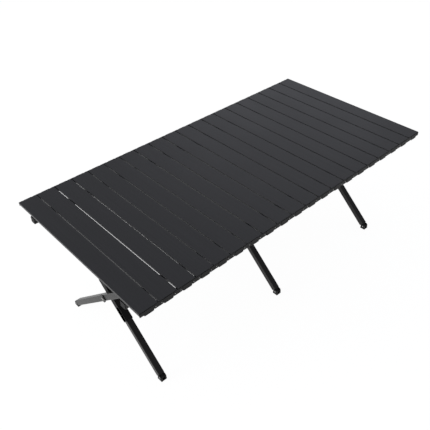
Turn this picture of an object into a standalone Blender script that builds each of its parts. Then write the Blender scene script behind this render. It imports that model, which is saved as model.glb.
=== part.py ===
"""A folding camp table: a roll-up top of twenty aluminium slats on three X-shaped leg frames.

Metres, +Z up. The origin is on the ground, below the centre of the top. X runs along the
table, Y across it. The slats lie along Y. The frames stand across the table at three places
along X and are tied together by two rails that fold down between them.
"""
import math

import bmesh
import bpy
from mathutils import Vector

# The top
SLAT_COUNT = 20
SLAT_PITCH = 0.060
SLAT_GAP = 0.003
TOP_WIDTH = 0.600
TOP_HEIGHT = 0.430
SKIN = 0.0015
EDGE_DEPTH = 0.0055
SLAT_DEPTH = 0.016
CHANNEL_WIDTH = 0.030
CHANNEL_FOOT = 0.005
CAP_PROUD = 0.0018
CAP_PLUG = 0.008
CAP_ROUND = 0.003
LINK_REACH = 0.013
LINK_LENGTH = 0.0135
LINK_DEPTH = 0.015
WELD = 0.00001
OVERLAP = 0.0005

# Tubes and clearances
TUBE = 0.020
TUBE_WALL = 0.0015
TUBE_ROUND = 0.0016
TUBE_INSET = 0.0835
GAP = 0.0003
RUNNING = 0.0003

# The leg frames
FRAME_SPACING = 0.5055
LEG_PLANE_STEP = 0.0221
LEG_TOP_DROP = 0.02736
ANKLE_INSET = 0.085
ANKLE_HEIGHT = 0.011
PIN_RADIUS = 0.0025
BOLT_RADIUS = 0.003
BOLT_HEAD = 0.0055
BOLT_HEAD_THICK = 0.003
NUT_THICK = 0.005
BOLT_TIP = 0.001

# The feet
LUG_RADIUS = 0.006
LUG_WIDTH = 0.008
LUG_PLUG = 0.012
CHEEK_RADIUS = 0.009
SLOT_FLOOR = 0.0008
SOLE_LENGTH = 0.020
SOLE_THICK = 0.004
SOLE_ROUND = 0.001
ANKLE_PIN_INSET = 0.001
ANKLE_PIN_RADIUS = 0.002
LEG_END = 0.009

# The hub brackets
SLEEVE_WALL = 0.0015
SLEEVE_START = 0.095
SLEEVE_END = 0.045
PLATE_TOP = 0.058
PLATE_WIDTH = 0.024
PLATE_ROUND = 0.008
PLATE_FOOT = 0.002
SLEEVE_ROUND = 0.002
OUTER_PLATE_THICK = 0.002
OUTER_PLATE_REACH = 0.013
OUTER_PLATE_WIDTH = 0.022

# The rails
RAIL_OVERHANG = 0.090
RAIL_CAP = 0.002
RAIL_CAP_PLUG = 0.012
MIDDLE_PIN = 0.014
PIN_DROP = 0.0042
KNUCKLE_RADIUS = 0.004
KNUCKLE_WIDTH = 0.010
KNUCKLE_REACH = 0.022
FORK_INSET = 0.001
DRAIN_RADIUS = 0.0025
STUB_GAP = 0.0065

# The rail brackets at the tops of the legs
CHEEK_PLATE = 0.002
PLATE_DROP = 0.0007
BRACKET_HALF = 0.0365
BRACKET_DROP = 0.009
EAR_THICK = 0.0025
EAR_INWARD = 0.008
EAR_PIN_PROUD = 0.0015
RAIL_PIN_PROUD = 0.002
COLLAR_STEP = 0.0005

# Places worked out from the sizes above
SLAT_WIDTH = SLAT_PITCH - SLAT_GAP
SLAT_HALF_LENGTH = TOP_WIDTH / 2 - CAP_PROUD
RAIL_TOP = TOP_HEIGHT - SLAT_DEPTH - GAP
RAIL_CENTRE_Z = RAIL_TOP - TUBE / 2
RAIL_PIN_Z = RAIL_TOP - PIN_DROP
LEG_END_CORNER = math.hypot(LEG_END, TUBE / 2)
RAIL_INNER_Y = TOP_WIDTH / 2 - TUBE_INSET
RAIL_Y = RAIL_INNER_Y + TUBE / 2
RAIL_END = FRAME_SPACING + RAIL_OVERHANG
PLATE_OUTER_Y = RAIL_INNER_Y - GAP
PLATE_INNER_Y = PLATE_OUTER_Y - CHEEK_PLATE
LEG_TOP_Y = PLATE_INNER_Y - LEG_END_CORNER - OVERLAP
LEG_TOP_Z = RAIL_TOP - LEG_TOP_DROP
ANKLE_OUT = TOP_WIDTH / 2 - ANKLE_INSET
LEG_SLOPE = (LEG_TOP_Z - ANKLE_HEIGHT) / (LEG_TOP_Y + ANKLE_OUT)
LEG_ANGLE = math.atan(LEG_SLOPE)
HUB_HEIGHT = ANKLE_HEIGHT + ANKLE_OUT * LEG_SLOPE
LOWER_ARM = ANKLE_OUT / math.cos(LEG_ANGLE)
UPPER_ARM = LEG_TOP_Y / math.cos(LEG_ANGLE)
LEG_LENGTH = LOWER_ARM + UPPER_ARM
SPAN = FRAME_SPACING - MIDDLE_PIN
SIDES = {"near": -1, "far": 1}
FRAMES = {"left": -FRAME_SPACING, "middle": 0.0, "right": FRAME_SPACING}

for old in list(bpy.data.objects):
    bpy.data.objects.remove(old, do_unlink=True)

table = bpy.data.collections.new("camp_table")
cutters = bpy.data.collections.new("cutters")
bpy.context.scene.collection.children.link(table)
bpy.context.scene.collection.children.link(cutters)


def material(name, colour, roughness, metallic):
    made = bpy.data.materials.new(name)
    made.use_nodes = True
    shader = made.node_tree.nodes["Principled BSDF"]
    shader.inputs["Base Color"].default_value = (*colour, 1.0)
    shader.inputs["Roughness"].default_value = roughness
    shader.inputs["Metallic"].default_value = metallic
    return made


SLAT_BLACK = material("powder_coated_aluminium", (0.035, 0.035, 0.038), 0.5, 0.3)
TUBE_BLACK = material("coated_steel_tube", (0.015, 0.015, 0.016), 0.45, 0.3)
NYLON = material("black_nylon", (0.008, 0.008, 0.009), 0.5, 0.0)
STEEL = material("zinc_steel", (0.55, 0.55, 0.55), 0.35, 1.0)


def place(mesh, name, finish, location=(0, 0, 0), turn_x=0.0):
    """Makes an object of a mesh, gives it its material and puts it where it belongs."""
    obj = bpy.data.objects.new(name, mesh.copy())
    obj.data.name = name
    obj.data.materials.clear()
    obj.data.materials.append(finish)
    obj.location = location
    obj.rotation_euler = (turn_x, 0, 0)
    table.objects.link(obj)
    return obj


def loose(obj):
    for holder in list(obj.users_collection):
        holder.objects.unlink(obj)
    return obj


def box(low, high):
    """A cube stretched between two corners."""
    bpy.ops.mesh.primitive_cube_add(size=1.0)
    obj = loose(bpy.context.object)
    low, high = Vector(low), Vector(high)
    for vertex in obj.data.vertices:
        vertex.co = [low[k] + (vertex.co[k] + 0.5) * (high[k] - low[k]) for k in range(3)]
    return obj


def bevel_along(obj, axis, radius, segments=1):
    """Rounds the edges of a box that run along one axis."""
    mesh = bmesh.new()
    mesh.from_mesh(obj.data)
    edges = [
        edge
        for edge in mesh.edges
        if abs((edge.verts[1].co - edge.verts[0].co).normalized()[axis]) > 0.99
    ]
    bmesh.ops.bevel(mesh, geom=edges, offset=radius, segments=segments, profile=0.5, affect="EDGES")
    mesh.to_mesh(obj.data)
    mesh.free()
    return obj


def rod(radius, start, end, sides=12):
    """A cylinder between two points that lie along one axis."""
    start, end = Vector(start), Vector(end)
    bpy.ops.mesh.primitive_cylinder_add(vertices=sides, radius=radius, depth=(end - start).length)
    obj = loose(bpy.context.object)
    turn = Vector((0, 0, 1)).rotation_difference((end - start).normalized())
    for vertex in obj.data.vertices:
        vertex.co = turn @ vertex.co + (start + end) / 2
    return obj


def combined(base, *steps):
    """Joins or cuts shapes with Booleans, and gives the result as one mesh."""
    table.objects.link(base)
    for operation, other in steps:
        cutters.objects.link(other)
        other.hide_render = True
        other.display_type = "WIRE"
        modifier = base.modifiers.new(operation.lower(), "BOOLEAN")
        modifier.operation = operation
        modifier.object = other
    bpy.context.view_layer.update()
    mesh = bpy.data.meshes.new_from_object(base.evaluated_get(bpy.context.evaluated_depsgraph_get()))
    for used in [base] + [other for _, other in steps]:
        bpy.data.objects.remove(used, do_unlink=True)
    return mesh


def smooth(mesh):
    mesh.shade_smooth()
    mesh.set_sharp_from_angle(angle=math.radians(35))
    return mesh


def slat_mesh(with_links):
    """A slat centred on its own middle, its top face at z = 0, with its end caps and links.

    The extrusion is one outline: a skin with a short lip along each long edge, and a channel
    below the middle whose two walls turn in at the bottom.
    """
    half = SLAT_WIDTH / 2
    channel = CHANNEL_WIDTH / 2
    right = [
        (half, 0),
        (half, -EDGE_DEPTH),
        (half - SKIN, -EDGE_DEPTH),
        (half - SKIN, -SKIN),
        (channel, -SKIN),
        (channel, -SLAT_DEPTH),
        (channel - CHANNEL_FOOT, -SLAT_DEPTH),
        (channel - CHANNEL_FOOT, -SLAT_DEPTH + SKIN),
        (channel - SKIN, -SLAT_DEPTH + SKIN),
        (channel - SKIN, -SKIN),
    ]
    outline = right + [(-x, z) for x, z in reversed(right)]
    curve = bpy.data.curves.new("slat_outline", "CURVE")
    curve.dimensions = "2D"
    curve.fill_mode = "BOTH"
    curve.extrude = SLAT_HALF_LENGTH
    spline = curve.splines.new("POLY")
    spline.points.add(len(outline) - 1)
    for point, (x, z) in zip(spline.points, outline):
        point.co = (x, z, 0, 1)
    spline.use_cyclic_u = True
    guide = bpy.data.objects.new("slat_guide", curve)
    table.objects.link(guide)
    bpy.context.view_layer.update()
    mesh = bpy.data.meshes.new_from_object(guide.evaluated_get(bpy.context.evaluated_depsgraph_get()))
    bpy.data.objects.remove(guide, do_unlink=True)
    for vertex in mesh.vertices:
        x, z, y = vertex.co
        vertex.co = (x, y, z)
    shape = bmesh.new()
    shape.from_mesh(mesh)
    bmesh.ops.remove_doubles(shape, verts=shape.verts, dist=WELD)
    bmesh.ops.recalc_face_normals(shape, faces=shape.faces)
    shape.to_mesh(mesh)
    shape.free()
    steps = []
    for side in SIDES.values():
        inner = side * (SLAT_HALF_LENGTH - CAP_PLUG)
        outer = side * TOP_WIDTH / 2
        low_y, high_y = sorted((inner, outer))
        cap = box((-channel, low_y, -SLAT_DEPTH), (channel, high_y, -SKIN / 2))
        steps.append(("UNION", bevel_along(cap, 1, CAP_ROUND)))
        if with_links:
            root_y = side * (TOP_WIDTH / 2 - LINK_LENGTH)
            low_y, high_y = sorted((root_y, outer))
            link_low = (channel - SKIN / 2, low_y, -LINK_DEPTH)
            link_high = (SLAT_PITCH / 2 + LINK_REACH, high_y, -EDGE_DEPTH - GAP)
            steps.append(("UNION", bevel_along(box(link_low, link_high), 1, CAP_ROUND)))
    return combined(bpy.data.objects.new("slat_base", mesh), *steps)


def make_slats():
    linked, last = slat_mesh(True), slat_mesh(False)
    for number in range(1, SLAT_COUNT + 1):
        x = (number - (SLAT_COUNT + 1) / 2) * SLAT_PITCH
        mesh = last if number == SLAT_COUNT else linked
        place(mesh, f"slat_{number:02d}", SLAT_BLACK, (x, 0, TOP_HEIGHT))


def leg_mesh():
    """A leg standing straight up on its ankle pin: a square tube with a lug plugged in below."""
    half = TUBE / 2
    inside = half - TUBE_WALL
    tube = bevel_along(box((-half, -half, LEG_END), (half, half, LEG_LENGTH + LEG_END)), 2, TUBE_ROUND)
    bore_top = LEG_LENGTH + LEG_END + TUBE
    bore = box((-inside, -inside, LEG_END + LUG_PLUG), (inside, inside, bore_top))
    lug_side = LUG_WIDTH / 2
    neck_low = (-lug_side, -LUG_RADIUS, 0)
    neck_high = (lug_side, LUG_RADIUS, LEG_END + LUG_PLUG / 2)
    reach = TUBE
    return combined(
        tube,
        ("DIFFERENCE", bore),
        ("UNION", box(neck_low, neck_high)),
        ("UNION", rod(LUG_RADIUS, (-lug_side, 0, 0), (lug_side, 0, 0), 16)),
        ("DIFFERENCE", rod(ANKLE_PIN_RADIUS + RUNNING, (-reach, 0, 0), (reach, 0, 0))),
        ("DIFFERENCE", rod(BOLT_RADIUS + RUNNING, (-reach, 0, LOWER_ARM), (reach, 0, LOWER_ARM))),
        ("DIFFERENCE", rod(PIN_RADIUS + RUNNING, (-reach, 0, LEG_LENGTH), (reach, 0, LEG_LENGTH))),
    )


def foot_mesh():
    """A foot standing level about its ankle pin, with a slot for the leg's lug."""
    half = TUBE / 2
    slot = LUG_WIDTH / 2 + RUNNING
    floor = -LUG_RADIUS - SLOT_FLOOR
    body_low = (-half, -CHEEK_RADIUS, -ANKLE_HEIGHT + SOLE_THICK / 2)
    sole_low = (-half, -SOLE_LENGTH / 2, -ANKLE_HEIGHT)
    sole_high = (half, SOLE_LENGTH / 2, -ANKLE_HEIGHT + SOLE_THICK)
    pin_reach = half - ANKLE_PIN_INSET
    return combined(
        rod(CHEEK_RADIUS, (-half, 0, 0), (half, 0, 0), 16),
        ("UNION", box(body_low, (half, CHEEK_RADIUS, 0))),
        ("UNION", bevel_along(box(sole_low, sole_high), 0, SOLE_ROUND)),
        ("DIFFERENCE", box((-slot, -TUBE, floor), (slot, TUBE, TUBE))),
        ("UNION", rod(ANKLE_PIN_RADIUS, (-pin_reach, 0, 0), (pin_reach, 0, 0))),
    )


def hub_mesh():
    """The bracket on a leg at the pivot, in the leg's own frame with the pivot at the origin."""
    inner = TUBE / 2 + GAP
    outer = inner + SLEEVE_WALL
    half = PLATE_WIDTH / 2
    sleeve = bevel_along(box((-outer, -half, -SLEEVE_START), (outer, half, -SLEEVE_END)), 2, SLEEVE_ROUND)
    plate = box((-outer, -half, -SLEEVE_START + PLATE_FOOT), (-inner, half, PLATE_TOP))
    tube_space = box((-inner, -inner, -SLEEVE_START - TUBE), (inner, inner, PLATE_TOP + TUBE))
    return combined(
        sleeve,
        ("UNION", bevel_along(plate, 0, PLATE_ROUND, 2)),
        ("DIFFERENCE", tube_space),
        ("DIFFERENCE", rod(BOLT_RADIUS + RUNNING, (-TUBE, 0, 0), (TUBE, 0, 0))),
    )


def bolt_mesh():
    """The pivot bolt with the plate under its head, outside leg b, and its nut inside leg a."""
    plate_in = -LEG_PLANE_STEP - TUBE / 2 - GAP
    plate_out = plate_in - OUTER_PLATE_THICK
    half = OUTER_PLATE_WIDTH / 2
    inner_face = TUBE / 2 + GAP
    nut_end = inner_face + NUT_THICK
    plate = box((plate_out, -half, -OUTER_PLATE_REACH), (plate_in, half, OUTER_PLATE_REACH))
    shank = rod(BOLT_RADIUS, (plate_out - BOLT_TIP, 0, 0), (nut_end + BOLT_TIP, 0, 0))
    head = rod(BOLT_HEAD, (plate_out - BOLT_HEAD_THICK, 0, 0), (plate_out + OVERLAP, 0, 0), 16)
    nut = rod(BOLT_HEAD, (inner_face, 0, 0), (nut_end, 0, 0), 6)
    return combined(
        bevel_along(plate, 0, PLATE_ROUND, 2),
        ("UNION", shank),
        ("UNION", head),
        ("UNION", nut),
    )


def make_frames():
    leg, foot, hub, bolt = (smooth(mesh) for mesh in (leg_mesh(), foot_mesh(), hub_mesh(), bolt_mesh()))
    lean = math.pi / 2 - LEG_ANGLE
    for frame, x in FRAMES.items():
        for letter, side, plane in (("a", -1, 0), ("b", 1, -LEG_PLANE_STEP)):
            ankle = (x + plane, side * ANKLE_OUT, ANKLE_HEIGHT)
            place(leg, f"leg_{frame}_{letter}", TUBE_BLACK, ankle, side * lean)
            place(foot, f"foot_{frame}_{letter}", NYLON, ankle)
        place(hub, f"hub_bracket_{frame}", NYLON, (x, 0, HUB_HEIGHT), -lean)
        place(bolt, f"pivot_bolt_{frame}", STEEL, (x, 0, HUB_HEIGHT), -lean)


def make_bracket(frame, side_name):
    """The bracket on top of a leg: two ears round the leg, a plate along the rail, and pins."""
    side = SIDES[side_name]
    x = FRAMES[frame]
    leg_x = 0.0 if side > 0 else -LEG_PLANE_STEP

    def across(y):
        return side * y - side * LEG_TOP_Y

    def block(x0, x1, y0, y1, z0, z1):
        low_y, high_y = sorted((across(y0), across(y1)))
        return box((x0, low_y, z0 - LEG_TOP_Z), (x1, high_y, z1 - LEG_TOP_Z))

    low_z = LEG_TOP_Z - BRACKET_DROP
    plate = block(-BRACKET_HALF, BRACKET_HALF, PLATE_INNER_Y, PLATE_OUTER_Y, low_z, RAIL_TOP - PLATE_DROP)
    steps = []
    for ear in (-1, 1):
        x0, x1 = sorted((leg_x + ear * (TUBE / 2 + GAP), leg_x + ear * (TUBE / 2 + GAP + EAR_THICK)))
        ear_y = LEG_TOP_Y - EAR_INWARD
        shape = block(x0, x1, ear_y, PLATE_INNER_Y + OVERLAP, low_z, LEG_TOP_Z + BRACKET_DROP)
        steps.append(("UNION", shape))
    reach = TUBE / 2 + EAR_THICK + EAR_PIN_PROUD
    steps.append(("UNION", rod(PIN_RADIUS, (leg_x - reach, 0, 0), (leg_x + reach, 0, 0))))
    if frame == "middle":
        pins = (-MIDDLE_PIN, MIDDLE_PIN)
    else:
        pins = (0.0,)
    pin_z = RAIL_PIN_Z - LEG_TOP_Z
    for pin_x in pins:
        collar_end = RAIL_Y - KNUCKLE_WIDTH / 2 - GAP
        pin_end = RAIL_Y + KNUCKLE_WIDTH / 2 + RAIL_PIN_PROUD
        root_y = PLATE_OUTER_Y - OVERLAP
        root = (pin_x, across(root_y), pin_z)
        collar = rod(KNUCKLE_RADIUS - COLLAR_STEP, root, (pin_x, across(collar_end), pin_z))
        pin = rod(PIN_RADIUS, root, (pin_x, across(pin_end), pin_z))
        steps += [("UNION", collar), ("UNION", pin)]
    bracket = combined(plate, *steps)
    place(bracket, f"rail_bracket_{frame}_{side_name}", NYLON, (x, side * LEG_TOP_Y, LEG_TOP_Z))


def rail_link_mesh(with_pin):
    """A rail link from its first pin at the origin to its second along +X, half a span away.

    Each end is a knuckle on the tube's upper edge. At the second end, a link with a pin
    carries it for the other link, whose knuckle is forked round it.
    """
    length = SPAN / 2
    half = TUBE / 2
    inside = half - TUBE_WALL
    mid = -half + PIN_DROP
    tube = box((KNUCKLE_REACH, -half, mid - half), (length - KNUCKLE_REACH, half, mid + half))
    bore_low = (KNUCKLE_REACH + LUG_PLUG, -inside, mid - inside)
    bore_high = (length - KNUCKLE_REACH - LUG_PLUG, inside, mid + inside)
    drain_x = length / 2
    steps = [
        ("DIFFERENCE", box(bore_low, bore_high)),
        ("DIFFERENCE", rod(DRAIN_RADIUS, (drain_x, 0, mid - TUBE), (drain_x, 0, mid))),
    ]
    width = KNUCKLE_WIDTH / 2
    hole = PIN_RADIUS + RUNNING

    def knuckle(pin_x, towards, y0, y1):
        low_x, high_x = sorted((pin_x, pin_x + towards * (KNUCKLE_REACH + LUG_PLUG / 2)))
        arm = box((low_x, y0, -KNUCKLE_RADIUS), (high_x, y1, KNUCKLE_RADIUS))
        eye = rod(KNUCKLE_RADIUS, (pin_x, y0, 0), (pin_x, y1, 0), 16)
        return [("UNION", arm), ("UNION", eye)]

    steps += knuckle(0, 1, -width, width)
    steps.append(("DIFFERENCE", rod(hole, (0, -TUBE, 0), (0, TUBE, 0))))
    if with_pin:
        steps += knuckle(length, -1, -width / 2, width / 2)
        steps.append(("UNION", rod(PIN_RADIUS, (length, -half, 0), (length, half, 0))))
    else:
        for fork in (-1, 1):
            y0, y1 = sorted((fork * (width / 2 + RUNNING), fork * (half - FORK_INSET)))
            steps += knuckle(length, -1, y0, y1)
        steps.append(("DIFFERENCE", rod(hole, (length, -TUBE, 0), (length, TUBE, 0))))
    return smooth(combined(bevel_along(tube, 0, TUBE_ROUND), *steps))


def turned_half(mesh):
    """The same mesh turned half round about Z, so that it runs along -X."""
    turned = mesh.copy()
    for vertex in turned.vertices:
        vertex.co = (-vertex.co[0], -vertex.co[1], vertex.co[2])
    return turned


def make_rails():
    inner_link, outer_link = rail_link_mesh(True), rail_link_mesh(False)
    for side_name, side in SIDES.items():
        for span_name, way in (("left", -1), ("right", 1)):
            start_x, end_x = way * MIDDLE_PIN, way * FRAME_SPACING
            y = side * RAIL_Y
            outward = inner_link if way > 0 else turned_half(inner_link)
            inward = turned_half(outer_link) if way > 0 else outer_link
            for name, mesh, x in (("inner", outward, start_x), ("outer", inward, end_x)):
                place(mesh, f"rail_{name}_{span_name}_{side_name}", TUBE_BLACK, (x, y, RAIL_PIN_Z))
            make_rail_end(span_name, side_name, way, y)


def make_rail_end(span_name, side_name, way, y):
    """The fixed end piece of a rail, past the outer frame, and the cap in its open end."""
    half = TUBE / 2
    inside = half - TUBE_WALL
    start = FRAME_SPACING + STUB_GAP
    low_x, high_x = sorted((way * start, way * RAIL_END))
    tube = box((low_x, -half, -half), (high_x, half, half))
    bore_x = sorted((way * (start + LUG_PLUG), way * (RAIL_END + TUBE)))
    bore = box((bore_x[0], -inside, -inside), (bore_x[1], inside, inside))
    stub = combined(bevel_along(tube, 0, TUBE_ROUND), ("DIFFERENCE", bore))
    place(stub, f"rail_end_{span_name}_{side_name}", TUBE_BLACK, (0, y, RAIL_CENTRE_Z))
    plug = inside - GAP
    plug_x = sorted((way * (RAIL_END - RAIL_CAP_PLUG), way * (RAIL_END + RAIL_CAP)))
    face_x = sorted((way * (RAIL_END + GAP), way * (RAIL_END + GAP + RAIL_CAP)))
    face = bevel_along(box((face_x[0], -half, -half), (face_x[1], half, half)), 0, TUBE_ROUND)
    cap = combined(face, ("UNION", box((plug_x[0], -plug, -plug), (plug_x[1], plug, plug))))
    place(cap, f"rail_cap_{span_name}_{side_name}", NYLON, (0, y, RAIL_CENTRE_Z))


make_slats()
make_frames()
for frame_name in FRAMES:
    for bracket_side in SIDES:
        make_bracket(frame_name, bracket_side)
make_rails()
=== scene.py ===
"""A folding camp table with a roll-up top of black slats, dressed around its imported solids."""
import math

import bmesh
import bpy
import numpy as np
from mathutils import Matrix, Vector


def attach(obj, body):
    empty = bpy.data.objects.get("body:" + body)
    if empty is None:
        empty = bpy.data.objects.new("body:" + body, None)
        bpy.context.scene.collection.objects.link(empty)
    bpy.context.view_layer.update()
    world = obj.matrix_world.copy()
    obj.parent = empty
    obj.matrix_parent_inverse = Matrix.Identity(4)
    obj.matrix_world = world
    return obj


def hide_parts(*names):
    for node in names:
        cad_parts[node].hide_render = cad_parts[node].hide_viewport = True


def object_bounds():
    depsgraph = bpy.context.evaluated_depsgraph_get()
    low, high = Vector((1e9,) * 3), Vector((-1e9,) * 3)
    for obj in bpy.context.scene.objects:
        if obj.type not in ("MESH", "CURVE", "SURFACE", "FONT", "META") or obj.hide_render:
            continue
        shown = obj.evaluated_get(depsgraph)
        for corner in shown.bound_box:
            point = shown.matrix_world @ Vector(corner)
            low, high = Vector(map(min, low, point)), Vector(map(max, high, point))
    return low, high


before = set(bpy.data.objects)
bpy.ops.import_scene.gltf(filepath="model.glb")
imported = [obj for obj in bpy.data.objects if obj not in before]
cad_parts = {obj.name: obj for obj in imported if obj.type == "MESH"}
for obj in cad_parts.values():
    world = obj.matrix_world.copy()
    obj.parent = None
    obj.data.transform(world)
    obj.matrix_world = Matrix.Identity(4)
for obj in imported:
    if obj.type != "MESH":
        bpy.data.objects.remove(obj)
cad_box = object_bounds()
scene = bpy.context.scene
scene.view_settings.view_transform = "Standard"

# Camera
# It stands at the left near corner and looks down along the table, as fitted to the slat seams.
# A 430 pixel frame at a focal length of 552.43 pixels is a 46.25 mm lens on a 36 mm sensor.
PHOTO_PIXELS = 430
FOCAL_PIXELS = 552.43
SENSOR_MM = 36.0
CAMERA_PLACE = (-1.0347, -1.0644, 1.4167)
CAMERA_RIGHT = (0.73617, -0.67653, -0.01927)
CAMERA_FORWARD = (0.51822, 0.58176, -0.62691)
camera_data = bpy.data.cameras.new("camera")
camera_data.sensor_width = SENSOR_MM
camera_data.sensor_fit = "HORIZONTAL"
camera_data.lens = SENSOR_MM * FOCAL_PIXELS / PHOTO_PIXELS
camera = bpy.data.objects.new("camera", camera_data)
scene.collection.objects.link(camera)
camera_right = Vector(CAMERA_RIGHT).normalized()
camera_forward = Vector(CAMERA_FORWARD).normalized()
camera_up = camera_right.cross(camera_forward).normalized()
camera_turn = Matrix((camera_right, camera_up, -camera_forward)).transposed()
camera.matrix_world = Matrix.Translation(CAMERA_PLACE) @ camera_turn.to_4x4()
scene.camera = camera


def linear(code):
    """An sRGB hex colour turned to linear values with alpha 1."""
    values = np.array([int(code[k : k + 2], 16) for k in (1, 3, 5)]) / 255
    low = values / 12.92
    high = ((values + 0.055) / 1.055) ** 2.4
    return (*np.where(values <= 0.04045, low, high), 1.0)


def node(tree, kind, links=None, **settings):
    """Adds a node, sets its properties or inputs by name, and links inputs to other sockets."""
    made = tree.nodes.new(kind)
    for key, value in settings.items():
        if hasattr(made, key):
            setattr(made, key, value)
        else:
            made.inputs[key.replace("_", " ")].default_value = value
    for key, source in (links or {}).items():
        tree.links.new(source, made.inputs[key])
    return made


# Floor and background
# A plain white studio sweep, lit by three soft boxes. The camera and glossy coats see it mostly
# as glowing white paper, and the rest of it keeps a faint soft shadow of the table.
FLOOR_HALF = 9.0
PAPER_SHARE = 0.85
PAPER_GLOW = 1.12
FILL_STRENGTH = 0.36
floor_mesh = bpy.data.meshes.new("floor")
floor_corners = FLOOR_HALF * np.array([(-1, -1, 0), (1, -1, 0), (1, 1, 0), (-1, 1, 0)])
floor_mesh.from_pydata(floor_corners.tolist(), [], [(0, 1, 2, 3)])
floor = bpy.data.objects.new("floor", floor_mesh)
scene.collection.objects.link(floor)
floor_material = bpy.data.materials.new("white_paper_sweep")
floor_material.use_nodes = True
tree = floor_material.node_tree
tree.nodes.clear()
rays = node(tree, "ShaderNodeLightPath")
paper = node(tree, "ShaderNodeBsdfDiffuse", Color=linear("#f4f4f4"))
glow = node(tree, "ShaderNodeEmission", Color=linear("#ffffff"), Strength=PAPER_GLOW)
seen_by = {0: rays.outputs["Is Camera Ray"], 1: rays.outputs["Is Glossy Ray"]}
seen = node(tree, "ShaderNodeMath", seen_by, operation="MAXIMUM")
share = node(tree, "ShaderNodeMath", {0: seen.outputs[0]}, operation="MULTIPLY")
share.inputs[1].default_value = PAPER_SHARE
parts = {0: share.outputs[0], 1: paper.outputs[0], 2: glow.outputs[0]}
mixed = node(tree, "ShaderNodeMixShader", parts)
node(tree, "ShaderNodeOutputMaterial", {"Surface": mixed.outputs[0]})
floor_mesh.materials.append(floor_material)

world = bpy.data.worlds.new("studio")
world.use_nodes = True
scene.world = world
tree = world.node_tree
tree.nodes.clear()
rays = node(tree, "ShaderNodeLightPath")
seen_by = {0: rays.outputs["Is Camera Ray"], 1: rays.outputs["Is Transmission Ray"]}
plain = node(tree, "ShaderNodeMath", seen_by, operation="MAXIMUM")
fill = node(tree, "ShaderNodeBackground", Color=linear("#f6f8ff"), Strength=FILL_STRENGTH)
white = node(tree, "ShaderNodeBackground", Color=linear("#ffffff"), Strength=1.0)
parts = {0: plain.outputs[0], 1: fill.outputs[0], 2: white.outputs[0]}
mixed = node(tree, "ShaderNodeMixShader", parts)
node(tree, "ShaderNodeOutputWorld", {"Surface": mixed.outputs[0]})


def lamp(name, place, aim, size, watts, colour="#ffffff"):
    """A square soft box at one point, facing another. Places and size are in metres."""
    data = bpy.data.lights.new(name, "AREA")
    data.size = size
    data.energy = watts
    data.color = linear(colour)[:3]
    made = bpy.data.objects.new(name, data)
    scene.collection.objects.link(made)
    made.location = place
    made.rotation_euler = (Vector(aim) - Vector(place)).to_track_quat("-Z", "Y").to_euler()


lamp("left_soft_box", (-3.2, 1.6, 1.5), (-0.3, 0, 0.3), 1.6, 26)
lamp("front_soft_box", (-2.6, -1.8, 0.7), (-0.4, 0, 0.2), 1.4, 9, "#fff0e4")
lamp("far_soft_box", (4.4, 3.6, 2.4), (0.5, 0.1, 0.4), 3.6, 16, "#f3f5ff")

# Slats
# Each is an aluminium extrusion, powder-coated black: a thin skin with a short lip along each
# long edge and a deeper channel below the middle. The lip at each end of the table is deeper.
SLAT_COUNT = 20
SLAT_PITCH = 0.060
SLAT_WIDTH = 0.057
SLAT_SKIN = 0.0015
SLAT_LIP = 0.0055
OUTER_LIP = 0.0078
# A seam is 3 mm wide plus its slack. The first six, counted from the left, have their own.
SEAM_SLACK = {1: -0.0009, 2: 0.0003, 3: -0.0002, 4: -0.0006, 5: -0.0006, 6: -0.0004}
OTHER_SLACK = 0.0003
SLAT_DEPTH = 0.016
CHANNEL_WIDTH = 0.030
CHANNEL_FOOT = 0.005
LIP_ROUND = 0.0014
FOLD_ROUND = 0.0005
FLAT_START = 1.1
CAP_PROUD = 0.0018
TABLE_TOP = cad_box[1][2]
TABLE_HALF_WIDTH = cad_box[1][1]
SLAT_HALF_LENGTH = TABLE_HALF_WIDTH - CAP_PROUD


def rounded(points, radii, steps=4):
    """A closed outline with each corner turned into a curve.

    The curve of a corner is a quadratic Bezier from a point on the edge before it to a point on
    the edge after it, each one radius away, with the corner as the handle. One more point on each
    edge, a little farther away, keeps the flat beside the curve flat in its shading.
    """
    points = np.array(points, float)
    radii = np.broadcast_to(np.array(radii, float), len(points))[:, None]
    before = np.roll(points, 1, 0) - points
    after = np.roll(points, -1, 0) - points
    start = points + before / np.linalg.norm(before, axis=1)[:, None] * radii
    end = points + after / np.linalg.norm(after, axis=1)[:, None] * radii
    t = np.linspace(0, 1, steps)[None, :, None]
    curve = (1 - t) ** 2 * start[:, None] + 2 * t * (1 - t) * points[:, None] + t**2 * end[:, None]
    first = points + (start - points) * FLAT_START
    last = points + (end - points) * FLAT_START
    return np.concatenate([first[:, None], curve, last[:, None]], 1).reshape(-1, 2)


def swept(outlines, origins, across, up):
    """Sections along a path: section k is its outline, in the axes across and up, at origin k."""
    outlines, origins = np.array(outlines), np.array(origins)
    across, up = np.array(across, float), np.array(up, float)
    return origins[:, None] + outlines[..., :1] * across + outlines[..., 1:] * up


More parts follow.
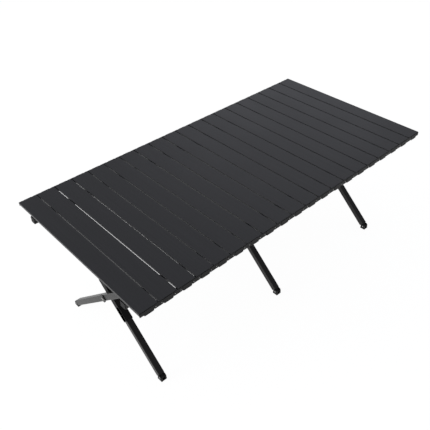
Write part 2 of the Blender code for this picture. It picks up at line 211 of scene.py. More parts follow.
def closed_skin(name, grids, body, material, smooth_angle=35):
    """Makes one object of tubular grids. Rows follow the path and columns go round the section.

    A grid whose last row is its first is a ring. Any other grid has its two end rows closed with
    a flat face. Faces are turned outwards.
    """
    points, faces, first = [], [], 0
    for grid in grids:
        ring = np.allclose(grid[0], grid[-1])
        grid = grid[:-1] if ring else grid
        rows, columns = grid.shape[:2]
        index = np.arange(rows * columns).reshape(rows, columns) + first
        here = index if ring else index[:-1]
        there = np.roll(index, -1, 0) if ring else index[1:]
        sides = [here, np.roll(here, -1, 1), np.roll(there, -1, 1), there]
        faces += np.stack(sides, -1).reshape(-1, 4).tolist()
        if not ring:
            faces += [index[0][::-1].tolist(), index[-1].tolist()]
        points.append(grid.reshape(-1, 3))
        first += rows * columns
    mesh = bpy.data.meshes.new(name)
    mesh.from_pydata(np.concatenate(points).tolist(), [], faces)
    shape = bmesh.new()
    shape.from_mesh(mesh)
    bmesh.ops.recalc_face_normals(shape, faces=shape.faces)
    shape.to_mesh(mesh)
    shape.free()
    mesh.shade_smooth()
    mesh.set_sharp_from_angle(angle=math.radians(smooth_angle))
    mesh.materials.append(material)
    made = bpy.data.objects.new(name, mesh)
    scene.collection.objects.link(made)
    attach(made, body)
    return made


def coated_aluminium():
    """Powder-coated aluminium: a matte charcoal film with a fine grain and a faint drawn streak.

    The film's real grain is about 0.2 mm. It is drawn seven times coarser, so that it shows. A
    streak is 3 mm wide and runs along the slat, about three to the metre, and a wide cloud
    varies the sheen a little from slat to slat.
    """
    made = bpy.data.materials.new("powder_coated_aluminium")
    made.use_nodes = True
    tree = made.node_tree
    shader = tree.nodes["Principled BSDF"]
    place = node(tree, "ShaderNodeTexCoord").outputs["Object"]
    GRAIN_MM = 1.4
    STREAK_MM = 3.0
    STREAKS_ALONG = 3.0
    STREAKS_DOWN = 40.0
    CLOUD_MM = 180.0
    grain = node(tree, "ShaderNodeTexNoise", {"Vector": place}, Scale=1000 / GRAIN_MM, Detail=3.0)
    stretch = (1000 / STREAK_MM, STREAKS_ALONG, STREAKS_DOWN)
    along = node(tree, "ShaderNodeMapping", {"Vector": place}, Scale=stretch)
    streak = node(tree, "ShaderNodeTexNoise", {"Vector": along.outputs[0]}, Scale=1.0, Detail=2.0)
    cloud = node(tree, "ShaderNodeTexNoise", {"Vector": place}, Scale=1000 / CLOUD_MM, Detail=2.0)
    pair = {0: grain.outputs["Fac"], 1: streak.outputs["Fac"]}
    both = node(tree, "ShaderNodeMath", pair, operation="ADD")
    mean = node(tree, "ShaderNodeMath", {0: both.outputs[0]}, operation="MULTIPLY")
    mean.inputs[1].default_value = 0.5
    colour = node(tree, "ShaderNodeValToRGB", {"Fac": mean.outputs[0]})
    stops = zip(colour.color_ramp.elements, (0.35, 0.65), ("#2d2d2f", "#363639"))
    for stop, position, code in stops:
        stop.position, stop.color = position, linear(code)
    tree.links.new(colour.outputs["Color"], shader.inputs["Base Color"])
    sheen = {"Value": cloud.outputs["Fac"]}
    rough = node(tree, "ShaderNodeMapRange", sheen, To_Min=0.38, To_Max=0.48)
    tree.links.new(rough.outputs[0], shader.inputs["Roughness"])
    height = {"Height": grain.outputs["Fac"]}
    bump = node(tree, "ShaderNodeBump", height, Strength=0.12, Distance=0.0002)
    tree.links.new(bump.outputs[0], shader.inputs["Normal"])
    return made


def slat_outline(left_half, right_half, left_lip, right_lip):
    """The extrusion's section, x across the slat and z up from its top face.

    Each side is a list of corners, from the top edge down the lip and the channel to its inner
    corner. The left one is mirrored, so that the two together go once round the section.
    """
    channel = CHANNEL_WIDTH / 2

    def side(half, lip):
        return [
            (half, 0),
            (half, -lip),
            (half - SLAT_SKIN, -lip),
            (half - SLAT_SKIN, -SLAT_SKIN),
            (channel, -SLAT_SKIN),
            (channel, -SLAT_DEPTH),
            (channel - CHANNEL_FOOT, -SLAT_DEPTH),
            (channel - CHANNEL_FOOT, -SLAT_DEPTH + SLAT_SKIN),
            (channel - SLAT_SKIN, -SLAT_DEPTH + SLAT_SKIN),
            (channel - SLAT_SKIN, -SLAT_SKIN),
        ]

    right, left = side(right_half, right_lip), side(left_half, left_lip)
    radii = [LIP_ROUND] + [FOLD_ROUND] * (len(right) - 1)
    outline = right + [(-x, z) for x, z in reversed(left)]
    return rounded(outline, radii + radii[::-1])


slat_coat = coated_aluminium()
for number in range(1, SLAT_COUNT + 1):
    name = f"slat_{number:02d}"
    middle = (number - (SLAT_COUNT + 1) / 2) * SLAT_PITCH
    first, last = number == 1, number == SLAT_COUNT
    left_slack = 0 if first else SEAM_SLACK.get(number - 1, OTHER_SLACK)
    right_slack = 0 if last else SEAM_SLACK.get(number, OTHER_SLACK)
    halves = [(SLAT_WIDTH - slack) / 2 for slack in (left_slack, right_slack)]
    lips = [OUTER_LIP if outer else SLAT_LIP for outer in (first, last)]
    slat_section = slat_outline(*halves, *lips)
    origins = [(middle, end * SLAT_HALF_LENGTH, TABLE_TOP) for end in (-1, 1)]
    grid = swept([slat_section] * 2, origins, (1, 0, 0), (0, 0, 1))
    slat = closed_skin(f"{name}_extrusion", [grid], name, slat_coat)
    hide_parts(name)

# End caps and links
# Black nylon mouldings: a cap plugs each end of each channel, and a link bridges each seam.
# Both stand proud of the slat ends with round corners, which makes the scalloped edge. The
# caps of the two outer slats also have a wing that closes the corner of the top.
LINK_REACH = 0.013
LINK_LENGTH = 0.0135
LINK_DEPTH = 0.015
CAP_DEPTH = 0.0174
NOSE_DEPTH = 0.015
NOSE_REACH = 0.0144
NOSE_SOFT = 0.0005
WING_DEPTH = 0.0125
WING_ROUND = 0.002
CAP_PLUG = 0.008
PLUG_SLACK = 0.0018
PLUG_ROUND = 0.001
PLUG_OVERLAP = 0.001
FINE_SOFT = 0.0003
LIP_CLEARANCE = 0.0003
MOULD_ROUND = 0.0036
EDGE_SOFT = 0.0007
PIN_DOME = 0.0005
FIT = 0.0002


def moulded_nylon():
    """Glass-filled nylon: near black, satin, with the fine spark texture of its mould.

    The real texture is under 0.1 mm. It is drawn at 0.9 mm, so that it breaks up the sheen.
    """
    made = bpy.data.materials.new("moulded_black_nylon")
    made.use_nodes = True
    tree = made.node_tree
    shader = tree.nodes["Principled BSDF"]
    place = node(tree, "ShaderNodeTexCoord").outputs["Object"]
    SPARK_MM = 0.9
    spark = node(tree, "ShaderNodeTexNoise", {"Vector": place}, Scale=1000 / SPARK_MM, Detail=4.0)
    colour = node(tree, "ShaderNodeValToRGB", {"Fac": spark.outputs["Fac"]})
    for stop, code in zip(colour.color_ramp.elements, ("#0f0f10", "#19191a")):
        stop.color = linear(code)
    tree.links.new(colour.outputs["Color"], shader.inputs["Base Color"])
    sheen = {"Value": spark.outputs["Fac"]}
    rough = node(tree, "ShaderNodeMapRange", sheen, To_Min=0.5, To_Max=0.65)
    tree.links.new(rough.outputs[0], shader.inputs["Roughness"])
    height = {"Height": spark.outputs["Fac"]}
    bump = node(tree, "ShaderNodeBump", height, Strength=0.2, Distance=0.0002)
    tree.links.new(bump.outputs[0], shader.inputs["Normal"])
    shader.inputs["IOR"].default_value = 1.53
    shader.inputs["Specular IOR Level"].default_value = 0.22
    return made


def rectangle(width, height, radius, steps=4):
    """A rectangle about the origin, with round corners."""
    w, h = width / 2, height / 2
    return rounded([(-w, -h), (w, -h), (w, h), (-w, h)], radius, steps)


def softened(outline, start, end, across, up, soft=EDGE_SOFT):
    """An outline carried from start to end, drawn in a little at both ends.

    Near each end the outline shrinks by a quarter circle of the soft radius, in four sections:
    every point moves in along each axis by that inset, in proportion to its distance out. One
    more section on each side of the curve keeps the end face and the wall flat in their shading.
    """
    outline = np.array(outline, float)
    middle = (outline.max(0) + outline.min(0)) / 2
    half = (outline.max(0) - outline.min(0)) / 2
    start, end = np.array(start, float), np.array(end, float)
    way = (end - start) / np.linalg.norm(end - start)
    angle = np.linspace(0, math.pi / 2, 4)[:, None]
    inset = soft * np.concatenate([[[FLAT_START]], 1 - np.sin(angle), [[0.0]]])
    shift = soft * np.concatenate([[[0.0]], 1 - np.cos(angle), [[FLAT_START]]])
    drawn = middle + (outline - middle) * (1 - inset[:, None] / half)
    outlines = np.concatenate([drawn, drawn[::-1]])
    origins = np.concatenate([start + way * shift, end - way * shift[::-1]])
    return swept(outlines, origins, across, up)


def block_y(width, height, radius, x, z, y0, y1, soft=EDGE_SOFT):
    """A round-cornered rectangle about (x, z), carried along the slat between two places in y."""
    outline = rectangle(width, height, radius)
    return softened(outline, (x, y0, z), (x, y1, z), (1, 0, 0), (0, 0, 1), soft)


nylon = moulded_nylon()
for number in range(1, SLAT_COUNT + 1):
    name = f"slat_{number:02d}"
    middle = (number - (SLAT_COUNT + 1) / 2) * SLAT_PITCH
    for end_name, side in (("near", -1), ("far", 1)):
        face_y = side * TABLE_HALF_WIDTH
        seat_y = side * (SLAT_HALF_LENGTH + FIT)
        cap_height = CAP_DEPTH - FIT
        cap_z = TABLE_TOP - FIT - cap_height / 2
        cap = block_y(CHANNEL_WIDTH, cap_height, MOULD_ROUND, middle, cap_z, seat_y, face_y)
        plug_width = CHANNEL_WIDTH - 2 * SLAT_SKIN - 2 * FIT
        plug_height = SLAT_DEPTH - 2 * SLAT_SKIN - PLUG_SLACK
        plug_z = TABLE_TOP - SLAT_DEPTH / 2 - SLAT_SKIN / 2
        plug_ends = side * (SLAT_HALF_LENGTH - CAP_PLUG), seat_y + side * PLUG_OVERLAP
        plug_shape = (plug_width, plug_height, PLUG_ROUND, middle, plug_z)
        plug = block_y(*plug_shape, *plug_ends, FINE_SOFT)
        wings = []
        if number in (1, SLAT_COUNT):
            outward = -1 if number == 1 else 1
            wing_x = middle + outward * ((SLAT_WIDTH + CHANNEL_WIDTH) / 4 - FIT)
            wing_width = (SLAT_WIDTH - CHANNEL_WIDTH) / 2
            wing_z = TABLE_TOP - FIT - WING_DEPTH / 2
            wing_shape = (wing_width, WING_DEPTH, WING_ROUND, wing_x, wing_z)
            wings.append(block_y(*wing_shape, seat_y, face_y))
        grids = [cap, plug, *wings]
        moulding = closed_skin(f"end_cap_{number:02d}_{end_name}", grids, name, nylon)
        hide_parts(name)
        if number == SLAT_COUNT:
            continue
        seam = middle + SLAT_PITCH / 2
        link_low = middle + CHANNEL_WIDTH / 2 + 2 * FIT
        link_width = seam + LINK_REACH - link_low
        link_x = link_low + link_width / 2
        link_height = LINK_DEPTH - SLAT_LIP - 2 * FIT
        link_z = TABLE_TOP - SLAT_LIP - LIP_CLEARANCE - link_height / 2
        strap_ends = side * (TABLE_HALF_WIDTH - LINK_LENGTH), seat_y + side * FIT
        strap = block_y(link_width, link_height, MOULD_ROUND, link_x, link_z, *strap_ends)
        nose_height = NOSE_DEPTH - FIT
        nose_z = TABLE_TOP - FIT - nose_height / 2
        nose_y = face_y - side * PIN_DOME
        nose_width = seam + NOSE_REACH - link_low
        nose_x = link_low + nose_width / 2
        nose_shape = (nose_width, nose_height, MOULD_ROUND, nose_x, nose_z)
        nose = block_y(*nose_shape, seat_y, nose_y, NOSE_SOFT)
        link = closed_skin(f"link_{number:02d}_{end_name}", [strap, nose], name, nylon)
        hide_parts(name)

# Link pins
# Two steel pins with shallow domed heads are pressed into each link from the table's side, one
# on each side of the seam. Only the heads show.
PIN_HEAD = 0.0014
PIN_DROP = 0.0085
PIN_INSET_LEFT = 0.0035
PIN_INSET_RIGHT = 0.0045
PIN_ROOT = 0.0008
DOME_CUT = 0.25


def plated_steel():
    """Zinc-plated steel: a bright grey metal with soft blotches, 2 mm wide, in the plating."""
    made = bpy.data.materials.new("zinc_plated_steel")
    made.use_nodes = True
    tree = made.node_tree
    shader = tree.nodes["Principled BSDF"]
    place = node(tree, "ShaderNodeTexCoord").outputs["Object"]
    BLOTCH_MM = 2.0
    blotch = node(tree, "ShaderNodeTexNoise", {"Vector": place}, Scale=1000 / BLOTCH_MM, Detail=3.0)
    colour = node(tree, "ShaderNodeValToRGB", {"Fac": blotch.outputs["Fac"]})
    for stop, code in zip(colour.color_ramp.elements, ("#8d8d8c", "#b4b4b2")):
        stop.color = linear(code)
    tree.links.new(colour.outputs["Color"], shader.inputs["Base Color"])
    sheen = {"Value": blotch.outputs["Fac"]}
    rough = node(tree, "ShaderNodeMapRange", sheen, To_Min=0.28, To_Max=0.42)
    tree.links.new(rough.outputs[0], shader.inputs["Roughness"])
    shader.inputs["Metallic"].default_value = 1.0
    return made


def turned(profile, centre, axis, across, sides=24):
    """A turned shape: each pair of the profile is a distance along the axis and a radius.

    The point at angle t of a pair is the centre, plus the distance times the axis, plus the
    radius times (cos t of the across direction and sin t of the one square to both).
    """
    profile = np.array(profile, float)
    centre, axis, across = (np.array(v, float) for v in (centre, axis, across))
    up = np.cross(axis, across)
    angle = np.linspace(0, 2 * math.pi, sides, endpoint=False)
    ring = np.cos(angle)[:, None] * across + np.sin(angle)[:, None] * up
    return centre + profile[:, :1, None] * axis + profile[:, 1:, None] * ring[None]


def domed(radius, height, root=PIN_ROOT):
    """The profile of a rivet head: a short root below the face and a quarter ellipse above it.

    The ellipse stops a little short of its pole, and the flat end of the skin closes it.
    """
    angle = np.linspace(0, math.pi / 2 - DOME_CUT, 5)
    dome = np.stack([height * np.sin(angle), radius * np.cos(angle)], 1)
    return np.concatenate([[(-root, radius)], dome])


steel = plated_steel()
for number in range(1, SLAT_COUNT):
    name = f"slat_{number:02d}"
    seam = (number - SLAT_COUNT / 2) * SLAT_PITCH
    for end_name, side in (("near", -1), ("far", 1)):
        pin_y = side * (TABLE_HALF_WIDTH - PIN_DOME)
        heads = []
        for pin_x in (seam - LINK_REACH + PIN_INSET_LEFT, seam + LINK_REACH - PIN_INSET_RIGHT):
            place = (pin_x, pin_y, TABLE_TOP - PIN_DROP)
            heads.append(turned(domed(PIN_HEAD, PIN_DOME), place, (0, side, 0), (1, 0, 0), 16))
        pins = closed_skin(f"link_pins_{number:02d}_{end_name}", heads, name, steel)
        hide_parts(name)

# Legs
# Square aluminium tube, 20 mm across with a 1.5 mm wall and rolled corners, powder-coated
# black. The top end is open, and a nylon lug is pressed into the bottom one.
TUBE = 0.020
TUBE_WALL = 0.0015
TUBE_ROUND = 0.0026
TUBE_RIM = 0.0003
TUBE_DEEP = 0.03
TUBE_INSET = 0.0835
GAP = 0.0003
RAIL_TOP = TABLE_TOP - SLAT_DEPTH - GAP
RAIL_INNER_Y = TABLE_HALF_WIDTH - TUBE_INSET
ANKLE_INSET = 0.085
ANKLE_OUT = TABLE_HALF_WIDTH - ANKLE_INSET
ANKLE_HEIGHT = 0.011
LEG_END = 0.009
LEG_PLANE_STEP = 0.0221
LEG_TOP_DROP = 0.02736
LEG_TOP_CLEARANCE = 0.0028
LEG_TOP_Z = RAIL_TOP - LEG_TOP_DROP
LEG_TOP_Y = RAIL_INNER_Y - LEG_TOP_CLEARANCE - math.hypot(LEG_END, TUBE / 2)
LEG_ANGLE = math.atan((LEG_TOP_Z - ANKLE_HEIGHT) / (LEG_TOP_Y + ANKLE_OUT))
LEG_LENGTH = (LEG_TOP_Y + ANKLE_OUT) / math.cos(LEG_ANGLE)
HUB_HEIGHT = ANKLE_HEIGHT + ANKLE_OUT * math.tan(LEG_ANGLE)
LUG_WIDTH = 0.008
LUG_RADIUS = 0.006
LUG_NECK = 0.015
LUG_ROUND = 0.001
COLLAR_OUT = 0.0006
COLLAR_IN = 0.001
CHAMFER = 0.0005
CHAMFER_RUN = 0.0004
FRAME_SPACING = 0.5055
FRAMES = {"left": -FRAME_SPACING, "middle": 0.0, "right": FRAME_SPACING}
# For each leg of a pair: the side of the table its foot is on, and its plane's place in x.
LEGS = {"a": (-1, 0.0), "b": (1, -LEG_PLANE_STEP)}


def coated_tube():
    """Powder-coated tube: black and a little glossier than the slats, with an orange-peel skin.

    Its dimples are 2.2 mm wide and very shallow, and give the coat a soft, uneven sheen.
    """
    made = bpy.data.materials.new("powder_coated_tube")
    made.use_nodes = True
    tree = made.node_tree
    shader = tree.nodes["Principled BSDF"]
    place = node(tree, "ShaderNodeTexCoord").outputs["Object"]
    PEEL_MM = 2.2
    peel = node(tree, "ShaderNodeTexNoise", {"Vector": place}, Scale=1000 / PEEL_MM, Detail=2.0)
    colour = node(tree, "ShaderNodeValToRGB", {"Fac": peel.outputs["Fac"]})
    for stop, code in zip(colour.color_ramp.elements, ("#222121", "#2b2a2a")):
        stop.color = linear(code)
    tree.links.new(colour.outputs["Color"], shader.inputs["Base Color"])
    sheen = {"Value": peel.outputs["Fac"]}
    rough = node(tree, "ShaderNodeMapRange", sheen, To_Min=0.3, To_Max=0.4)
    tree.links.new(rough.outputs[0], shader.inputs["Roughness"])
    height = {"Height": peel.outputs["Fac"]}
    bump = node(tree, "ShaderNodeBump", height, Strength=0.1, Distance=0.0003)
    tree.links.new(bump.outputs[0], shader.inputs["Normal"])
    shader.inputs["Specular IOR Level"].default_value = 0.22
    return made


def open_tube(start, end, across, up, deep_start=TUBE_DEEP, deep_end=TUBE_DEEP):
    """A hollow square tube as one closed skin: inner wall, rims and outer wall.

    The rows run from a bottom inside the start, out over its rim, along the outside, over the
    other rim and back in to a second bottom. A shallow bottom is a plugged end.
    """
    start, end = np.array(start, float), np.array(end, float)
    way = (end - start) / np.linalg.norm(end - start)
    inside = TUBE - 2 * TUBE_WALL
    rim = TUBE_RIM
    outer = rectangle(TUBE, TUBE, TUBE_ROUND)
    edge = rectangle(TUBE - 2 * rim, TUBE - 2 * rim, TUBE_ROUND - rim)
    inner = rectangle(inside, inside, TUBE_ROUND - TUBE_WALL)
    outlines = [inner, inner, edge, outer, outer, edge, inner, inner]
    origins = [start + way * depth for depth in (deep_start, 0, 0, rim)]
    origins += [end - way * depth for depth in (rim, 0, 0, deep_end)]
    return swept(outlines, origins, across, up)


def leg_axes(side):
    """The direction up a leg and the one square to it, for the leg whose foot is on a side."""
    way = np.array([0, -side * math.cos(LEG_ANGLE), math.sin(LEG_ANGLE)])
    square = np.array([0, math.sin(LEG_ANGLE), side * math.cos(LEG_ANGLE)])
    return way, square


def chamfered(start, end, radius, cut=CHAMFER, run=CHAMFER_RUN):
    """The profile of a plain round bar between two places, with a chamfer at each end.

    At an end its radius is less by the cut, and it is full after the run.
    """
    return [(start, radius - cut), (start + run, radius), (end - run, radius), (end, radius - cut)]


tube_coat = coated_tube()
for frame_name, frame_x in FRAMES.items():
    for letter, (side, plane) in LEGS.items():
        name = f"leg_{frame_name}_{letter}"
        ankle = np.array([frame_x + plane, side * ANKLE_OUT, ANKLE_HEIGHT])
        way, square = leg_axes(side)
        foot_end = ankle + way * LEG_END
        tube = open_tube(foot_end, foot_end + way * LEG_LENGTH, (1, 0, 0), square)
        leg = closed_skin(f"{name}_tube", [tube], name, tube_coat)
        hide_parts(name)
        neck_outline = rectangle(LUG_WIDTH, 2 * LUG_RADIUS, LUG_ROUND)
        neck_end = ankle + way * LUG_NECK
        neck = softened(neck_outline, ankle, neck_end, (1, 0, 0), square, FINE_SOFT)
        eye_profile = chamfered(0, LUG_WIDTH, LUG_RADIUS, CHAMFER, FINE_SOFT)
        eye = turned(eye_profile, ankle - (LUG_WIDTH / 2, 0, 0), (1, 0, 0), (0, 1, 0))
        collar_outline = rectangle(TUBE - 2 * FIT, TUBE - 2 * FIT, TUBE_ROUND)
        collar_start, collar_end = foot_end - way * COLLAR_OUT, foot_end + way * COLLAR_IN
        collar = softened(collar_outline, collar_start, collar_end, (1, 0, 0), square, FINE_SOFT)
        lug = closed_skin(f"{name}_lug", [neck, eye, collar], name, nylon)
        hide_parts(name)

# Feet
# A nylon shoe swings on a pin through the lug of each leg. It has two round-topped cheeks, as
# wide as the tube, on a flat sole.
CHEEK_RADIUS = 0.009
SOLE_LENGTH = 0.020
SOLE_THICK = 0.004
SOLE_ROUND = 0.0012
CHEEK_SOFT = 0.0006
ANKLE_HEAD = 0.0028
ANKLE_DOME = 0.0008


def arch(radius, drop, steps=13):
    """A round-topped outline: a half circle about the origin on a foot with straight sides."""
    angle = np.linspace(math.pi, 0, steps)
    top = np.stack([radius * np.cos(angle), radius * np.sin(angle)], 1)
    return np.concatenate([[(-radius, -drop)], top, [(radius, -drop)]])


for frame_name, frame_x in FRAMES.items():
    for letter, (side, plane) in LEGS.items():
        name = f"foot_{frame_name}_{letter}"
        ankle = np.array([frame_x + plane, side * ANKLE_OUT, ANKLE_HEIGHT])
        cheek = arch(CHEEK_RADIUS, ANKLE_HEIGHT - SOLE_THICK / 2)
        slot_half = LUG_WIDTH / 2 + GAP
        pieces = []
        for x0, x1 in ((-TUBE / 2, -slot_half), (slot_half, TUBE / 2)):
            start, end = ankle + (x0, 0, 0), ankle + (x1, 0, 0)
            pieces.append(softened(cheek, start, end, (0, 1, 0), (0, 0, 1), CHEEK_SOFT))
        sole_outline = rectangle(SOLE_LENGTH, SOLE_THICK, SOLE_ROUND)
        sole_z = SOLE_THICK / 2 - ANKLE_HEIGHT
        start, end = ankle + (-TUBE / 2, 0, sole_z), ankle + (TUBE / 2, 0, sole_z)
        pieces.append(softened(sole_outline, start, end, (0, 1, 0), (0, 0, 1)))
        shoe = closed_skin(f"{name}_shoe", pieces, name, nylon)
        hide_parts(name)
        heads = []
        for way_x in (-1, 1):
            face = ankle + (way_x * (TUBE / 2 - FIT), 0, 0)
            head = domed(ANKLE_HEAD, ANKLE_DOME)
            heads.append(turned(head, face, (way_x, 0, 0), (0, 1, 0), 16))
        pin = closed_skin(f"{name}_pin", heads, name, steel)
        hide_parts(name)

# Hub brackets
# A nylon moulding on each leg a at the crossing: a square sleeve that grips the tube below the
# pivot, and a flat plate that keeps the two legs apart.
SLEEVE_WALL = 0.0015
SLEEVE_START = 0.095
SLEEVE_END = 0.045
SLEEVE_SOFT = 0.0005
SLEEVE_ROUND = 0.002
BORE_ROUND = 0.001
PLATE_TOP = 0.058
PLATE_WIDTH = 0.024
PLATE_ROUND = 0.008
PLATE_FOOT = 0.002
PLATE_SOFT = 0.0004
HUB_WAY, HUB_SQUARE = leg_axes(-1)


def hub_plate(frame_x, x0, x1, low, high, width, radius, soft=PLATE_SOFT):
    """A flat plate along leg a with round corners, between two places in x."""
    outline = rectangle(width, high - low, radius, 7) + (0, (low + high) / 2)
    start, end = (frame_x + x0, 0, HUB_HEIGHT), (frame_x + x1, 0, HUB_HEIGHT)
    return softened(outline, start, end, HUB_SQUARE, HUB_WAY, soft)


for frame_name, frame_x in FRAMES.items():
    name, body = f"hub_bracket_{frame_name}", f"leg_{frame_name}_a"
    hub = np.array([frame_x, 0, HUB_HEIGHT])
    inner = TUBE + 2 * GAP
    outer_x = inner + 2 * SLEEVE_WALL
    soft = SLEEVE_SOFT
    wall = rectangle(outer_x, PLATE_WIDTH, SLEEVE_ROUND)
    edge = rectangle(outer_x - 2 * soft, PLATE_WIDTH - 2 * soft, SLEEVE_ROUND - soft)
    bore = rectangle(inner, inner, BORE_ROUND)
    outlines = [bore, edge, wall, wall, edge, bore, bore]
    places = [-SLEEVE_START, -SLEEVE_START, -SLEEVE_START + soft, -SLEEVE_END - soft]
    places += [-SLEEVE_END, -SLEEVE_END, -SLEEVE_START]
    origins = [hub + HUB_WAY * place for place in places]
    sleeve = swept(outlines, origins, (1, 0, 0), HUB_SQUARE)
    x0, x1 = -TUBE / 2 - GAP - SLEEVE_WALL, -TUBE / 2 - GAP
    low = -SLEEVE_START + PLATE_FOOT
    plate = hub_plate(frame_x, x0, x1, low, PLATE_TOP, PLATE_WIDTH, PLATE_ROUND)
    bracket = closed_skin(f"{name}_moulding", [sleeve, plate], body, nylon)
    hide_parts(name)

# Pivot bolts
# A socket-head bolt holds a small coated plate outside leg b and goes through both legs. The nut
# is on the inside of leg a.
OUTER_PLATE_THICK = 0.002
OUTER_PLATE_REACH = 0.013
OUTER_PLATE_WIDTH = 0.022
OUTER_PLATE_SOFT = 0.0009
BOLT_RADIUS = 0.003
BOLT_HEAD = 0.0055
BOLT_HEAD_THICK = 0.003
NUT_THICK = 0.005
NUT_CHAMFER = 0.0007
BOLT_TIP = 0.001
# From the plate's face out over the edge and the dome of the head, and into its socket.
HEAD_PROFILE = [
    (-0.0006, BOLT_HEAD - 0.0004),
    (0.0, BOLT_HEAD - 0.0001),
    (0.0008, BOLT_HEAD),
    (0.0017, 0.0052),
    (0.0025, 0.0045),
    (BOLT_HEAD_THICK, 0.0031),
    (BOLT_HEAD_THICK, 0.0025),
    (0.0012, 0.0024),
]
for frame_name, frame_x in FRAMES.items():
    name, body = f"pivot_bolt_{frame_name}", f"leg_{frame_name}_a"
    hub = np.array([frame_x, 0, HUB_HEIGHT])
    plate_in = -LEG_PLANE_STEP - TUBE / 2 - GAP
    plate_out = plate_in - OUTER_PLATE_THICK
    plate_shape = (-OUTER_PLATE_REACH, OUTER_PLATE_REACH, OUTER_PLATE_WIDTH, PLATE_ROUND)
    grid = hub_plate(frame_x, plate_out, plate_in, *plate_shape, OUTER_PLATE_SOFT)
    plate = closed_skin(f"{name}_plate", [grid], body, tube_coat)
    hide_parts(name)
    head = turned(HEAD_PROFILE, hub + (plate_out, 0, 0), (-1, 0, 0), (0, 1, 0))
    shank_end = TUBE / 2 + GAP + NUT_THICK + BOLT_TIP
    tip = [(shank_end - CHAMFER, BOLT_RADIUS), (shank_end, BOLT_RADIUS - CHAMFER)]
    shank = turned([(plate_in, BOLT_RADIUS), *tip], hub, (1, 0, 0), (0, 1, 0))
    nut_profile = chamfered(0, NUT_THICK, BOLT_HEAD, NUT_CHAMFER)
    nut = turned(nut_profile, hub + (TUBE / 2 + GAP, 0, 0), (1, 0, 0), HUB_SQUARE, 6)
    bolt = closed_skin(f"{name}_steel", [head, shank, nut], body, steel, 25)
    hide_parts(name)

# Rail brackets
# A nylon bracket on top of each leg: two ears round the tube on one pin, and a plate along the
# inside of the rail, which carries the pins of the rail links.
BRACKET_HALF = 0.0365
BRACKET_DROP = 0.009
BRACKET_PLATE = 0.002
BRACKET_ROUND = 0.004
BRACKET_CLEARANCE = 0.0007
EAR_THICK = 0.0025
EAR_INWARD = 0.008
EAR_ROUND = 0.003
EAR_OVERLAP = 0.0003
EAR_PIN_PROUD = 0.0015
BRACKET_PIN = 0.0025
RAIL_PIN_PROUD = 0.002
RAIL_PIN_ROOT = 0.0005
RAIL_PIN_DROP = 0.0042
RAIL_PIN_Z = RAIL_TOP - RAIL_PIN_DROP
RAIL_Y = RAIL_INNER_Y + TUBE / 2
MIDDLE_PIN = 0.014
KNUCKLE_RADIUS = 0.004
KNUCKLE_WIDTH = 0.010
COLLAR_STEP = 0.0005
for frame_name, frame_x in FRAMES.items():
    for side_name, side, letter in (("near", -1, "b"), ("far", 1, "a")):
        name, body = f"rail_bracket_{frame_name}_{side_name}", f"bracket_{frame_name}_{side_name}"
        leg_x = frame_x + LEGS[letter][1]
        plate_out = RAIL_INNER_Y - GAP
        plate_low, plate_high = LEG_TOP_Z - BRACKET_DROP, RAIL_TOP - BRACKET_CLEARANCE
        plate_outline = rectangle(2 * BRACKET_HALF, plate_high - plate_low, BRACKET_ROUND)
        plate_z = (plate_low + plate_high) / 2
        start = (frame_x, side * (plate_out - BRACKET_PLATE), plate_z)
        end = (frame_x, side * plate_out, plate_z)
        pieces = [softened(plate_outline, start, end, (1, 0, 0), (0, 0, 1), PLATE_SOFT)]
        ear_y0, ear_y1 = LEG_TOP_Y - EAR_INWARD, plate_out - BRACKET_PLATE + EAR_OVERLAP
        ear_outline = rectangle(ear_y1 - ear_y0, 2 * BRACKET_DROP, EAR_ROUND)
        for way_x in (-1, 1):
            ear_x0 = leg_x + way_x * (TUBE / 2 + GAP)
            ear_middle = (0, side * (ear_y0 + ear_y1) / 2, LEG_TOP_Z)
            start = np.array([ear_x0, 0, 0]) + ear_middle
            end = start + (way_x * EAR_THICK, 0, 0)
            pieces.append(softened(ear_outline, start, end, (0, 1, 0), (0, 0, 1), PLATE_SOFT))
        pin_xs = (-MIDDLE_PIN, MIDDLE_PIN) if frame_name == "middle" else (0.0,)
        collar_length = TUBE / 2 - KNUCKLE_WIDTH / 2
        collar_radius = KNUCKLE_RADIUS - COLLAR_STEP
        collar_profile = [(-PIN_ROOT, collar_radius), (collar_length - GAP, collar_radius)]
        pin_places = [(frame_x + pin_x, side * plate_out, RAIL_PIN_Z) for pin_x in pin_xs]
        pieces += [turned(collar_profile, place, (0, side, 0), (1, 0, 0)) for place in pin_places]
        bracket = closed_skin(f"{name}_moulding", pieces, body, nylon)
        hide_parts(name)
        reach = TUBE / 2 + EAR_THICK + EAR_PIN_PROUD
        leg_pin = chamfered(-reach, reach, BRACKET_PIN)
        pins = [turned(leg_pin, (leg_x, side * LEG_TOP_Y, LEG_TOP_Z), (1, 0, 0), (0, 1, 0))]
        far_end = RAIL_Y + KNUCKLE_WIDTH / 2 + RAIL_PIN_PROUD - plate_out
        rail_pin = [(-RAIL_PIN_ROOT, BRACKET_PIN), (far_end - CHAMFER_RUN, BRACKET_PIN)]
        rail_pin.append((far_end, BRACKET_PIN - CHAMFER))
        pins += [turned(rail_pin, place, (0, side, 0), (1, 0, 0)) for place in pin_places]
        pin = closed_skin(f"{name}_pins", pins, body, steel)
        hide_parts(name)

# Rails
# The same square tube. Each rail has two links on each side of the middle frame, with nylon
# knuckles pressed into their ends, so that it folds down between the frames.
KNUCKLE_REACH = 0.022
KNUCKLE_PLUG = 0.006
FORK_INSET = 0.001
SPAN = FRAME_SPACING - MIDDLE_PIN
RAIL_CENTRE_Z = RAIL_TOP - TUBE / 2
PLUGGED = 0.0012
ARM_ROUND = 0.0008


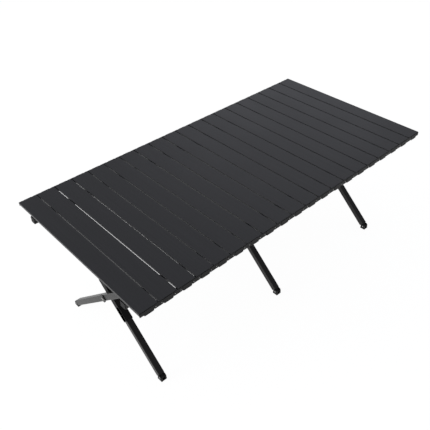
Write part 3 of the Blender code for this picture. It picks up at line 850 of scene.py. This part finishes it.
def knuckle(pin_x, towards, y0, y1):
    """A knuckle as two grids: a round eye on its pin and an arm into the tube."""
    middle_y, width = (y0 + y1) / 2, abs(y1 - y0)
    eye_profile = chamfered(0, width, KNUCKLE_RADIUS, FINE_SOFT, FINE_SOFT)
    eye = turned(eye_profile, (pin_x, min(y0, y1), RAIL_PIN_Z), (0, 1, 0), (1, 0, 0))
    start = (pin_x, middle_y, RAIL_PIN_Z)
    end = (pin_x + towards * (KNUCKLE_REACH + KNUCKLE_PLUG), middle_y, RAIL_PIN_Z)
    outline = rectangle(width, 2 * KNUCKLE_RADIUS, ARM_ROUND)
    return [eye, softened(outline, start, end, (0, 1, 0), (0, 0, 1), FINE_SOFT)]


for side_name, side in (("near", -1), ("far", 1)):
    rail_y = side * RAIL_Y
    for way_name, way in (("left", -1), ("right", 1)):
        knee_x = way * (MIDDLE_PIN + SPAN / 2)
        inner_link = ("inner", way * MIDDLE_PIN, way)
        outer_link = ("outer", way * (MIDDLE_PIN + SPAN), -way)
        for link_name, pin_x, towards in (inner_link, outer_link):
            name = f"rail_{link_name}_{way_name}_{side_name}"
            start = (pin_x + towards * KNUCKLE_REACH, rail_y, RAIL_CENTRE_Z)
            end = (knee_x - towards * KNUCKLE_REACH, rail_y, RAIL_CENTRE_Z)
            tube = open_tube(start, end, (0, 1, 0), (0, 0, 1), PLUGGED, PLUGGED)
            rail = closed_skin(f"{name}_tube", [tube], name, tube_coat)
            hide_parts(name)
            half = KNUCKLE_WIDTH / 2
            grids = knuckle(pin_x, towards, rail_y - half, rail_y + half)
            if link_name == "inner":
                grids += knuckle(knee_x, -towards, rail_y - half / 2, rail_y + half / 2)
            else:
                for fork in (-1, 1):
                    inner_y = rail_y + fork * (half / 2 + GAP)
                    outer_y = rail_y + fork * (TUBE / 2 - FORK_INSET)
                    grids += knuckle(knee_x, -towards, *sorted((inner_y, outer_y)))
            knuckles = closed_skin(f"{name}_knuckles", grids, name, nylon)
            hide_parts(name)
            if link_name == "inner":
                knee_pin = chamfered(-TUBE / 2, TUBE / 2, BRACKET_PIN)
                knee = (knee_x, rail_y, RAIL_PIN_Z)
                grid = turned(knee_pin, knee, (0, 1, 0), (1, 0, 0))
                pin = closed_skin(f"{name}_pin", [grid], name, steel)
                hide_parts(name)

# Rail ends and their caps
# A short tube beyond each outer frame carries the last slats, and a nylon cap closes it.
RAIL_OVERHANG = 0.090
RAIL_END = FRAME_SPACING + RAIL_OVERHANG
STUB_INSET = 0.0065
STUB_START = FRAME_SPACING + STUB_INSET
CAP_POCKET = 0.014
RAIL_CAP = 0.002
RAIL_CAP_PLUG = 0.012
RAIL_PLUG_ROUND = 0.0009
RAIL_PLUG_OVERLAP = 0.0005
for side_name, side in (("near", -1), ("far", 1)):
    for way_name, way in (("left", -1), ("right", 1)):
        body, end_part = f"bracket_{way_name}_{side_name}", f"rail_end_{way_name}_{side_name}"
        start = (way * STUB_START, side * RAIL_Y, RAIL_CENTRE_Z)
        end = (way * RAIL_END, side * RAIL_Y, RAIL_CENTRE_Z)
        tube = open_tube(start, end, (0, 1, 0), (0, 0, 1), PLUGGED, CAP_POCKET)
        stub = closed_skin(f"{end_part}_tube", [tube], body, tube_coat)
        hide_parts(end_part)
        cap_part = f"rail_cap_{way_name}_{side_name}"
        face = rectangle(TUBE, TUBE, TUBE_ROUND)
        face_start = (way * (RAIL_END + GAP), side * RAIL_Y, RAIL_CENTRE_Z)
        face_end = (way * (RAIL_END + GAP + RAIL_CAP), side * RAIL_Y, RAIL_CENTRE_Z)
        plug_size = TUBE - 2 * TUBE_WALL - 2 * GAP
        plug = rectangle(plug_size, plug_size, RAIL_PLUG_ROUND)
        plug_start = (way * (RAIL_END - RAIL_CAP_PLUG), side * RAIL_Y, RAIL_CENTRE_Z)
        plug_end = (way * (RAIL_END + GAP + RAIL_PLUG_OVERLAP), side * RAIL_Y, RAIL_CENTRE_Z)
        grids = [
            softened(face, face_start, face_end, (0, 1, 0), (0, 0, 1)),
            softened(plug, plug_start, plug_end, (0, 1, 0), (0, 0, 1), FINE_SOFT),
        ]
        cap = closed_skin(f"{cap_part}_moulding", grids, body, nylon)
        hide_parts(cap_part)
